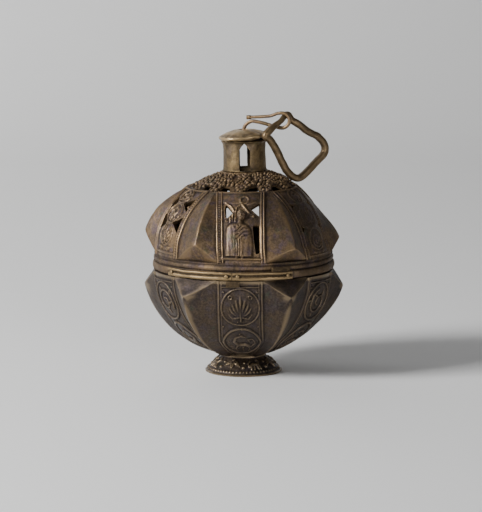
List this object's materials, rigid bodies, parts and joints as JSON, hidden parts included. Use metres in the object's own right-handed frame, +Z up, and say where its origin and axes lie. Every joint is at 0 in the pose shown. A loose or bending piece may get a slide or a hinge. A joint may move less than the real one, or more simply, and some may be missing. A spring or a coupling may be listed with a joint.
{
  "type": "spherical censer",
  "caption": "Spherical cast bronze censer on a low foot: bossed bowl with charcoal pan, pierced lift-off lid with turret and cap, and a wire hook with a loose suspension ring.",
  "frame": {"origin": "centre of the foot's underside, on the surface that the censer stands on", "axes": "+Z up through the bowl, lid and turret; -Y towards the viewer of the picture; +X to the viewer's right, where the suspension ring lies"},
  "size_m": [0.1118, 0.1025, 0.1454],
  "materials": {
    "dark_bronze": "worn dark brown cast bronze, low sheen",
    "bronze": "worn brown cast bronze, brighter on edges",
    "pale_bronze": "yellow-brown bronze, rubbed, satin",
    "brass": "dull golden brass sheet, satin",
    "iron": "sooty dull black iron"
  },
  "bodies": {
    "base": {"foot": "dark_bronze", "bowl": "dark_bronze", "foot_rivet": "bronze", "rim_patch": "brass"},
    "pan": {"charcoal_pan": "iron"},
    "lid": {"lid": "bronze", "seam_strip_left": "brass", "seam_strip_right": "brass", "collar_patch": "brass", "strip_pin_1": "brass", "strip_pin_2": "brass", "strip_pin_3": "brass", "strip_pin_4": "brass", "turret": "pale_bronze", "turret_cap": "bronze"},
    "hook": {"hook_wire": "bronze"},
    "ring": {"suspension_ring": "pale_bronze"}
  },
  "joints": [
    {"name": "lid_lift", "type": "slide", "parent": "base", "child": "lid", "axis": [0, 0, 1], "range_m": [0, 0.06]},
    {"name": "pan_lift", "type": "slide", "parent": "base", "child": "pan", "axis": [0, 0, 1], "range_m": [0, 0.03]},
    {"name": "hook_swivel", "type": "hinge", "parent": "lid", "child": "hook", "pos_m": [-0.00013, 0, 0.13629], "axis": [0, 0, 1], "continuous": true},
    {"name": "ring_swing", "type": "hinge", "parent": "hook", "child": "ring", "pos_m": [0.02057, -0.00633, 0.14014], "axis": [-0.8572, -0.515, 0], "range_deg": [0, 120]}
  ]
}
